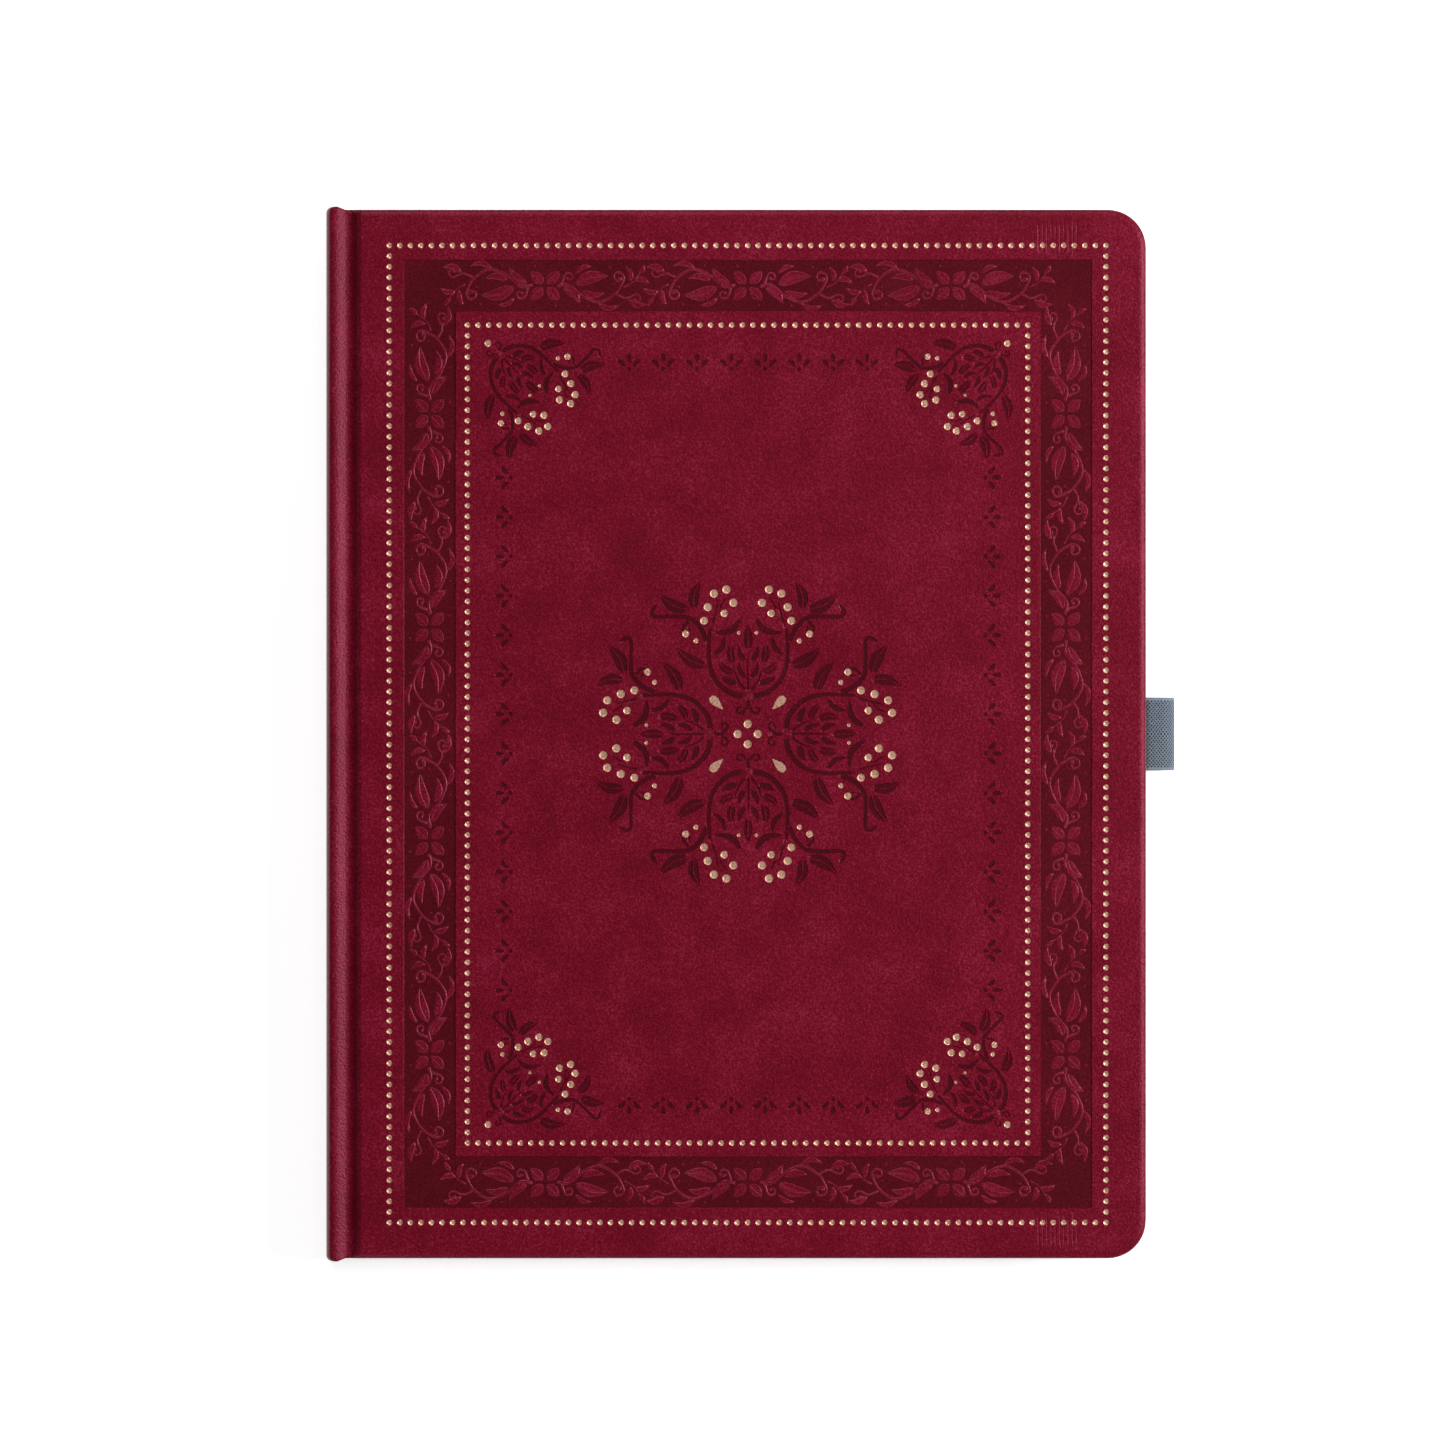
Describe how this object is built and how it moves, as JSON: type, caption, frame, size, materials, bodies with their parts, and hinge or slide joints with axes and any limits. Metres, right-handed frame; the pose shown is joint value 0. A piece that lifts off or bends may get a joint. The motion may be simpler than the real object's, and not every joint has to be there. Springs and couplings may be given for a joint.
{
  "type": "prayer book",
  "caption": "Hard-cover prayer book with tooled leather boards, sewn leaves, cloth end bands, an elastic pen loop and an elastic closure band; both covers and the leaves turn.",
  "frame": {"origin": "middle of the back cover's outer face, on which the book lies", "axes": "+X from the spine to the fore-edge, +Y from tail to head, +Z from the back cover to the front cover"},
  "size_m": [0.2318, 0.2878, 0.0244],
  "materials": {
    "cover_leather": "embossed and glazed bookbinding leather",
    "greyboard": "plain",
    "gauze": "open weave",
    "endpaper": "smooth",
    "text_paper": "smooth",
    "elastic": "woven elastic",
    "thread": "waxed",
    "band_cloth": "striped cloth"
  },
  "bodies": {
    "back_cover": {"back_leather": "cover_leather", "back_board": "greyboard", "back_infill_card": "greyboard", "back_hinge_cloth": "gauze", "back_pastedown": "endpaper", "closure_band": "elastic", "pen_loop_ends": "elastic"},
    "text_block": {"signature_03": "text_paper", "signature_04": "text_paper", "signature_05": "text_paper", "signature_06": "text_paper", "mull": "gauze", "sewing_threads": "thread", "head_band": "band_cloth", "tail_band": "band_cloth", "spine_leather": "cover_leather", "spine_liner": "greyboard", "back_joint_leather": "cover_leather", "front_joint_leather": "cover_leather"},
    "front_cover": {"front_leather": "cover_leather", "front_board": "greyboard", "front_infill_card": "greyboard", "front_hinge_cloth": "gauze", "front_pastedown": "endpaper"},
    "pen_loop": {"pen_loop": "elastic"},
    "front_flyleaf": {"front_flyleaf": "endpaper"},
    "leaves_10": {"signature_10": "text_paper"},
    "leaves_09": {"signature_09": "text_paper"},
    "leaves_08": {"signature_08": "text_paper"},
    "leaves_07": {"signature_07": "text_paper"},
    "back_flyleaf": {"back_flyleaf": "endpaper"},
    "leaves_01": {"signature_01": "text_paper"},
    "leaves_02": {"signature_02": "text_paper"}
  },
  "joints": [
    {"name": "back_cover_hinge", "type": "hinge", "parent": "back_cover", "child": "text_block", "pos_m": [-0.105, 0, 0.0005], "axis": [0, -1, 0], "range_deg": [0, 180], "deforming": ["back_joint_leather"]},
    {"name": "front_cover_hinge", "type": "hinge", "parent": "text_block", "child": "front_cover", "pos_m": [-0.105, 0, 0.02386], "axis": [0, -1, 0], "range_deg": [0, 180], "deforming": ["front_joint_leather"]},
    {"name": "pen_loop_flex", "type": "hinge", "parent": "back_cover", "child": "pen_loop", "pos_m": [0.1118, 0, 0.0035], "axis": [0, -1, 0], "range_deg": [0, 35], "stiffness_Nm_per_rad": 0.02},
    {"name": "front_flyleaf_turn", "type": "hinge", "parent": "text_block", "child": "front_flyleaf", "pos_m": [-0.1076, 0, 0.02056], "axis": [0, -1, 0], "range_deg": [0, 45.5]},
    {"name": "leaves_10_turn", "type": "hinge", "parent": "text_block", "child": "leaves_10", "pos_m": [-0.1076, 0, 0.02056], "axis": [0, -1, 0], "range_deg": [0, 34.7]},
    {"name": "leaves_09_turn", "type": "hinge", "parent": "text_block", "child": "leaves_09", "pos_m": [-0.1076, 0, 0.02056], "axis": [0, -1, 0], "range_deg": [0, 23.9]},
    {"name": "leaves_08_turn", "type": "hinge", "parent": "text_block", "child": "leaves_08", "pos_m": [-0.1076, 0, 0.02056], "axis": [0, -1, 0], "range_deg": [0, 14]},
    {"name": "leaves_07_turn", "type": "hinge", "parent": "text_block", "child": "leaves_07", "pos_m": [-0.1076, 0, 0.02056], "axis": [0, -1, 0], "range_deg": [0, 5.9]},
    {"name": "back_flyleaf_turn", "type": "hinge", "parent": "text_block", "child": "back_flyleaf", "pos_m": [-0.1076, 0, 0.0038], "axis": [0, 1, 0], "range_deg": [0, 45.5]},
    {"name": "leaves_01_turn", "type": "hinge", "parent": "text_block", "child": "leaves_01", "pos_m": [-0.1076, 0, 0.0038], "axis": [0, 1, 0], "range_deg": [0, 31.1]},
    {"name": "leaves_02_turn", "type": "hinge", "parent": "text_block", "child": "leaves_02", "pos_m": [-0.1076, 0, 0.0038], "axis": [0, 1, 0], "range_deg": [0, 14.9]}
  ],
  "couplings": [
    {"joint": "front_flyleaf_turn", "follows": "front_cover_hinge", "ratio": 0.25},
    {"joint": "leaves_10_turn", "follows": "front_cover_hinge", "ratio": 0.19},
    {"joint": "leaves_09_turn", "follows": "front_cover_hinge", "ratio": 0.13},
    {"joint": "leaves_08_turn", "follows": "front_cover_hinge", "ratio": 0.075},
    {"joint": "leaves_07_turn", "follows": "front_cover_hinge", "ratio": 0.03},
    {"joint": "back_flyleaf_turn", "follows": "back_cover_hinge", "ratio": 0.25},
    {"joint": "leaves_01_turn", "follows": "back_cover_hinge", "ratio": 0.17},
    {"joint": "leaves_02_turn", "follows": "back_cover_hinge", "ratio": 0.08}
  ]
}
